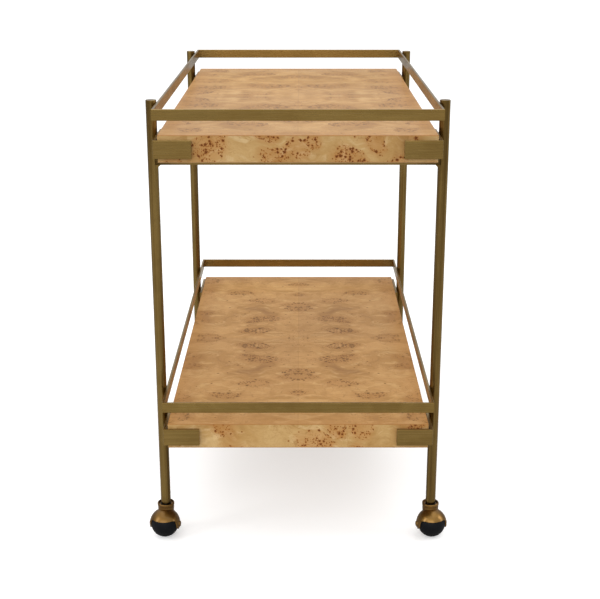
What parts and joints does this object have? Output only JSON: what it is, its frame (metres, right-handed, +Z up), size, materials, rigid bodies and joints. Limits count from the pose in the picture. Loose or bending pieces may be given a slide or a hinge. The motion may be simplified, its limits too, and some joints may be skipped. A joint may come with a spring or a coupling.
{
  "type": "bar cart",
  "caption": "Narrow rolling bar cart: round brass posts carry two thick burl-veneered shelves with flat-bar gallery rails, on hooded ball casters.",
  "frame": {"origin": "on the floor, under the middle of the cart's footprint", "axes": "+Z up, +Y along the cart's long side towards the rear end, +X to the right across the cart"},
  "size_m": [0.5508, 0.914, 0.8045],
  "materials": {
    "antique_brass": "brushed antique brass, satin",
    "burl_veneer": "mappa burl veneer under satin lacquer, book-matched",
    "core_board": "plain core board, all faces covered",
    "dark_steel": "darkened steel",
    "black_nylon": "moulded, matt",
    "black_rubber": "satin black"
  },
  "bodies": {
    "cart_frame": {"post_front_left": "antique_brass", "post_front_right": "antique_brass", "post_rear_left": "antique_brass", "post_rear_right": "antique_brass", "post_caps": "antique_brass", "post_inserts": "dark_steel", "upper_crossbar_front": "antique_brass", "upper_crossbar_rear": "antique_brass", "upper_rail_front": "antique_brass", "upper_rail_rear": "antique_brass", "upper_rail_left": "antique_brass", "upper_rail_right": "antique_brass", "upper_bracket_front_left": "antique_brass", "upper_bracket_front_right": "antique_brass", "upper_bracket_rear_left": "antique_brass", "upper_bracket_rear_right": "antique_brass", "upper_shelf_core": "core_board", "upper_shelf_top_veneer": "burl_veneer", "upper_shelf_edge_veneer": "burl_veneer", "upper_shelf_bottom_veneer": "burl_veneer", "lower_crossbar_front": "antique_brass", "lower_crossbar_rear": "antique_brass", "lower_rail_front": "antique_brass", "lower_rail_rear": "antique_brass", "lower_rail_left": "antique_brass", "lower_rail_right": "antique_brass", "lower_bracket_front_left": "antique_brass", "lower_bracket_front_right": "antique_brass", "lower_bracket_rear_left": "antique_brass", "lower_bracket_rear_right": "antique_brass", "lower_shelf_core": "core_board", "lower_shelf_top_veneer": "burl_veneer", "lower_shelf_edge_veneer": "burl_veneer", "lower_shelf_bottom_veneer": "burl_veneer", "weld_beads": "antique_brass", "shelf_screws": "dark_steel", "caster_stems": "dark_steel", "thrust_washers": "dark_steel", "stem_clips": "dark_steel"},
    "caster_front_left": {"caster_front_left_hood": "antique_brass", "caster_front_left_bearing_cup": "antique_brass", "caster_front_left_axle": "antique_brass"},
    "wheel_front_left": {"caster_front_left_wheel_core": "black_nylon", "caster_front_left_tyre": "black_rubber"},
    "caster_front_right": {"caster_front_right_hood": "antique_brass", "caster_front_right_bearing_cup": "antique_brass", "caster_front_right_axle": "antique_brass"},
    "wheel_front_right": {"caster_front_right_wheel_core": "black_nylon", "caster_front_right_tyre": "black_rubber"},
    "caster_rear_left": {"caster_rear_left_hood": "antique_brass", "caster_rear_left_bearing_cup": "antique_brass", "caster_rear_left_axle": "antique_brass"},
    "wheel_rear_left": {"caster_rear_left_wheel_core": "black_nylon", "caster_rear_left_tyre": "black_rubber"},
    "caster_rear_right": {"caster_rear_right_hood": "antique_brass", "caster_rear_right_bearing_cup": "antique_brass", "caster_rear_right_axle": "antique_brass"},
    "wheel_rear_right": {"caster_rear_right_wheel_core": "black_nylon", "caster_rear_right_tyre": "black_rubber"}
  },
  "joints": [
    {"name": "caster_front_left_swivel", "type": "hinge", "parent": "cart_frame", "child": "caster_front_left", "pos_m": [-0.245, -0.381, 0.0563], "axis": [0, 0, 1], "continuous": true},
    {"name": "wheel_front_left_spin", "type": "hinge", "parent": "caster_front_left", "child": "wheel_front_left", "pos_m": [-0.24667, -0.39288, 0.0254], "axis": [0.9903, -0.1392, 0], "continuous": true},
    {"name": "caster_front_right_swivel", "type": "hinge", "parent": "cart_frame", "child": "caster_front_right", "pos_m": [0.245, -0.381, 0.0563], "axis": [0, 0, 1], "continuous": true},
    {"name": "wheel_front_right_spin", "type": "hinge", "parent": "caster_front_right", "child": "wheel_front_right", "pos_m": [0.24667, -0.39288, 0.0254], "axis": [0.9903, 0.1392, 0], "continuous": true},
    {"name": "caster_rear_left_swivel", "type": "hinge", "parent": "cart_frame", "child": "caster_rear_left", "pos_m": [-0.245, 0.381, 0.0563], "axis": [0, 0, 1], "continuous": true},
    {"name": "wheel_rear_left_spin", "type": "hinge", "parent": "caster_rear_left", "child": "wheel_rear_left", "pos_m": [-0.24667, 0.36912, 0.0254], "axis": [0.9903, -0.1392, 0], "continuous": true},
    {"name": "caster_rear_right_swivel", "type": "hinge", "parent": "cart_frame", "child": "caster_rear_right", "pos_m": [0.245, 0.381, 0.0563], "axis": [0, 0, 1], "continuous": true},
    {"name": "wheel_rear_right_spin", "type": "hinge", "parent": "caster_rear_right", "child": "wheel_rear_right", "pos_m": [0.24667, 0.36912, 0.0254], "axis": [0.9903, 0.1392, 0], "continuous": true}
  ]
}
